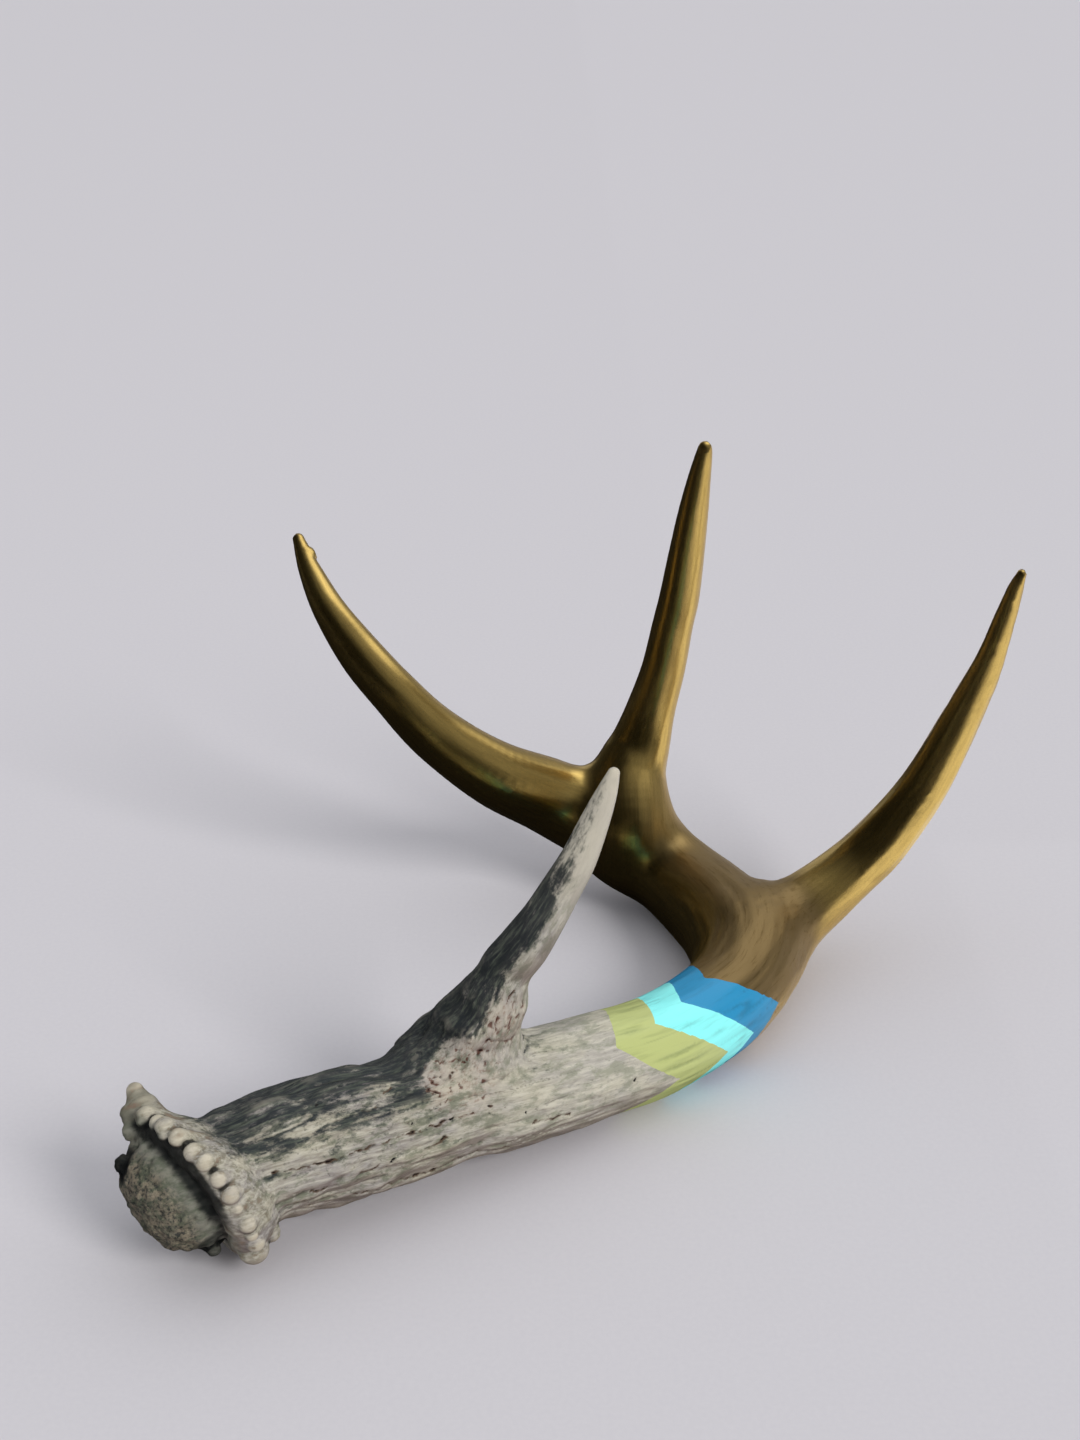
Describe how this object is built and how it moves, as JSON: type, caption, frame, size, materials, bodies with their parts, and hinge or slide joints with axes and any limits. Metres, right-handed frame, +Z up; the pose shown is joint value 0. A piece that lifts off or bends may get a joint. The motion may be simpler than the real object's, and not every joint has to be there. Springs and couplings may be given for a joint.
{
  "type": "painted antler",
  "caption": "Shed deer antler lying on a surface: bare beaded burr and brow tine, zigzag bands of colour round the beam, gold paint beyond.",
  "frame": {"origin": "middle of the bounding box at the level of the surface the antler lies on", "axes": "+X along the longest extent, from the burr's side to the second tine's side; +Y away from the viewer, from the burr to the beam's tip; +Z up"},
  "size_m": [0.2851, 0.2554, 0.185],
  "materials": {
    "bare_antler": "bare weathered antler bone, matt, cream grey with green-grey and near-black stains and brown cracks along the grain",
    "banded_paint": "satin acrylic paint in yellow-green, turquoise and blue zigzag bands, with bare bone before and gold beyond",
    "gold_paint": "satin metallic antique gold paint over faintly grooved antler"
  },
  "bodies": {
    "root": {"lower_beam": "bare_antler", "brow_tine": "bare_antler", "mid_beam": "banded_paint", "second_tine": "gold_paint", "upper_beam": "gold_paint", "third_tine": "gold_paint", "beam_tip": "gold_paint"}
  },
  "joints": []
}
